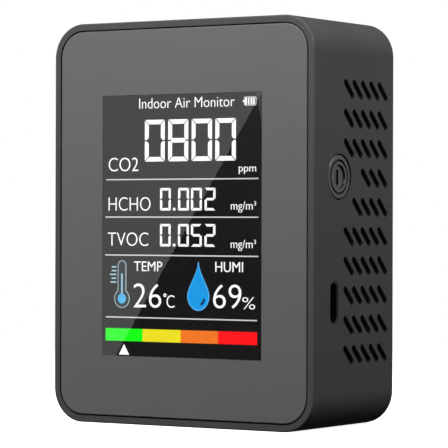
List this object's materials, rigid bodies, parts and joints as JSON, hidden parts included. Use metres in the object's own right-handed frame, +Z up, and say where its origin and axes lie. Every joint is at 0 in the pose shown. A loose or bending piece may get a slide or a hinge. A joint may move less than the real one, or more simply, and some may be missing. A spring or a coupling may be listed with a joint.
{
  "type": "air quality monitor",
  "caption": "Upright rectangular desktop air monitor: rounded housing, framed colour display, slanted side vents, round power button and a USB-C socket.",
  "frame": {"origin": "middle of the base, on the surface it stands on", "axes": "+Z up along the height, the display faces -Y, and the button and socket are on the +X side"},
  "size_m": [0.0648, 0.0334, 0.085],
  "materials": {
    "housing_plastic": "fine-textured satin dark grey",
    "panel_plastic": "satin mid grey",
    "cover_plastic": "fine-textured matt dark grey",
    "button_plastic": "satin dark grey",
    "display_window": "polished smoked clear plastic",
    "lcd": "dark display glass",
    "steel": "bright formed steel",
    "screw_steel": "black oxide steel",
    "black_plastic": "moulded black",
    "white_plastic": "moulded off-white",
    "foam": "black foam tape",
    "circuit_board": "green solder mask",
    "ribbon": "amber film",
    "cell_foil": "laminated foil pouch",
    "wire": "red insulated wire",
    "sensor_gold": "gold-plated optical chamber",
    "ferrite": "moulded ferrite",
    "ceramic": "fired ceramic",
    "mesh_fabric": "black woven dust mesh"
  },
  "bodies": {
    "case": {"housing": "housing_plastic", "front_panel": "panel_plastic", "panel_tape": "foam", "display_lens": "display_window", "display_gasket": "foam", "lcd_glass": "lcd", "light_guide": "white_plastic", "display_frame": "steel", "display_ribbon": "ribbon", "ribbon_connector": "white_plastic", "main_board": "circuit_board", "board_screws": "steel", "switch_body": "black_plastic", "usb_shell": "steel", "usb_tongue": "black_plastic", "battery": "cell_foil", "battery_pad": "foam", "battery_leads": "wire", "battery_plug": "white_plastic", "battery_socket": "white_plastic", "co2_sensor": "sensor_gold", "formaldehyde_sensor": "white_plastic", "tvoc_sensor": "steel", "climate_sensor": "white_plastic", "microcontroller": "black_plastic", "charger_chip": "black_plastic", "memory_chip": "black_plastic", "inductor": "ferrite", "capacitors": "ceramic", "crystal": "steel", "buzzer": "black_plastic", "dust_screens": "mesh_fabric", "rear_cover": "cover_plastic", "cover_screws": "screw_steel"},
    "button": {"button_cap": "button_plastic"},
    "plunger": {"switch_plunger": "white_plastic"}
  },
  "joints": [
    {"name": "button_press", "type": "slide", "parent": "case", "child": "button", "axis": [-1, 0, 0], "range_m": [0, 0.0004], "stiffness_N_per_m": 400},
    {"name": "plunger_press", "type": "slide", "parent": "case", "child": "plunger", "axis": [-1, 0, 0], "range_m": [0, 0.0004]}
  ],
  "couplings": [
    {"joint": "plunger_press", "follows": "button_press", "ratio": 1}
  ]
}
